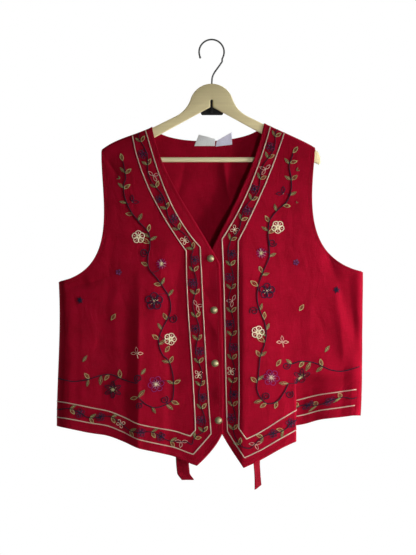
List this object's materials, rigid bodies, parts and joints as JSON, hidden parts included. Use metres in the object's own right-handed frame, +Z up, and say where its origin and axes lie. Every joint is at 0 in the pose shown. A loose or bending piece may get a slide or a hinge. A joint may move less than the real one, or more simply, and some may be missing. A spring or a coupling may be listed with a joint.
{
  "type": "sleeveless vest on a wooden hanger",
  "caption": "Embroidered sleeveless cloth vest with a V neck, pointed front hems, a buttoned front and hanging tie ends, held on a flat wooden hanger",
  "frame": {"origin": "The inside top of the hanger's hook, where it rests on a rail", "axes": "+Z up, the vest's front faces -Y, and the wearer's right side is at -X"},
  "size_m": [0.6254, 0.0516, 0.9155],
  "materials": {
    "crimson_cloth": "crimson woven cloth with a soft sheen",
    "cream_cord": "cream braided cord",
    "antique_brass": "dulled antique brass",
    "white_ribbon": "smooth white ribbon, blank",
    "pale_wood": "pale varnished wood",
    "steel_wire": "grey steel wire",
    "black_plastic": "matte black"
  },
  "bodies": {
    "root": {"right_front": "crimson_cloth", "left_front": "crimson_cloth", "back": "crimson_cloth", "tie_right": "crimson_cloth", "tie_left": "crimson_cloth", "right_cord_outer": "cream_cord", "right_cord_inner": "cream_cord", "left_cord_outer": "cream_cord", "left_cord_outer_behind": "cream_cord", "left_cord_inner": "cream_cord", "left_cord_inner_behind": "cream_cord", "button_1": "antique_brass", "button_2": "antique_brass", "button_3": "antique_brass", "button_4": "antique_brass", "neck_label": "white_ribbon", "care_label": "white_ribbon", "hanger_wood": "pale_wood", "hanger_bar": "pale_wood", "hanger_hook": "steel_wire", "hanger_plate": "black_plastic"}
  },
  "joints": []
}
